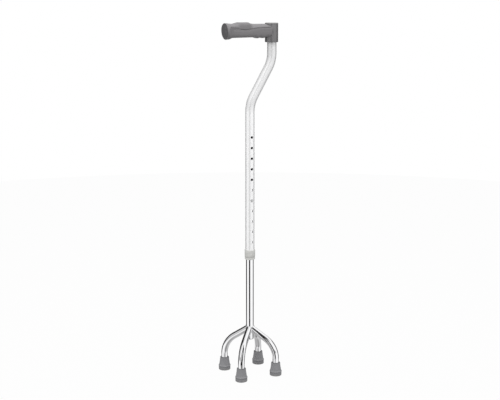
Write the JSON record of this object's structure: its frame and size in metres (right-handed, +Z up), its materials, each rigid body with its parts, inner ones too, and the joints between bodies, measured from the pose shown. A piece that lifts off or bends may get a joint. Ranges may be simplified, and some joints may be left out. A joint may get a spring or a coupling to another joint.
{
  "type": "quad cane",
  "caption": "Walking stick with an offset handle, a height-adjustable tube locked by a snap button, and a small base of bent legs on rubber tips.",
  "frame": {"origin": "on the floor, on the axis of the straight tubes, in the middle of the four tips", "axes": "+Z up along the tubes, -X towards the handle's free end, -Y towards the side with the adjusting holes"},
  "size_m": [0.139, 0.1238, 0.8541],
  "materials": {
    "chrome": "bright chrome plate",
    "satin_aluminium": "satin anodised",
    "zinc_steel": "zinc plated",
    "handle_plastic": "fine matt moulding",
    "grip_rubber": "soft matt skin",
    "end_cap_plastic": "matt moulding",
    "collar_plastic": "pale matt moulding",
    "tip_rubber": "matt moulded rubber"
  },
  "bodies": {
    "base": {"lower_tube": "chrome", "tube_guide": "collar_plastic", "leg_weld": "chrome", "base_plug": "chrome", "leg_front_left": "chrome", "leg_front_right": "chrome", "leg_back_left": "chrome", "leg_back_right": "chrome", "foot_front_left": "tip_rubber", "foot_front_right": "tip_rubber", "foot_back_left": "tip_rubber", "foot_back_right": "tip_rubber", "washer_front_left": "zinc_steel", "washer_front_right": "zinc_steel", "washer_back_left": "zinc_steel", "washer_back_right": "zinc_steel", "button_spring": "zinc_steel"},
    "button": {"snap_button": "zinc_steel"},
    "upper": {"upper_tube": "satin_aluminium", "handle_core": "handle_plastic", "handle_grip": "grip_rubber", "grip_end_cap": "end_cap_plastic", "socket_cap": "handle_plastic", "handle_screw": "zinc_steel", "collar_sleeve": "collar_plastic", "collet": "collar_plastic"},
    "ring": {"lock_ring": "collar_plastic"}
  },
  "joints": [
    {"name": "height_adjust", "type": "slide", "parent": "base", "child": "upper", "axis": [0, 0, 1], "range_m": [-0.1524, 0.1016], "deforming": ["snap_button"]},
    {"name": "button_press", "type": "slide", "parent": "base", "child": "button", "axis": [0, 1, 0], "range_m": [0, 0.0036], "stiffness_N_per_m": 500, "deforming": ["button_spring"]},
    {"name": "ring_turn", "type": "hinge", "parent": "upper", "child": "ring", "pos_m": [0, 0, 0.2925], "axis": [0, 0, 1], "range_deg": [0, 90]}
  ]
}
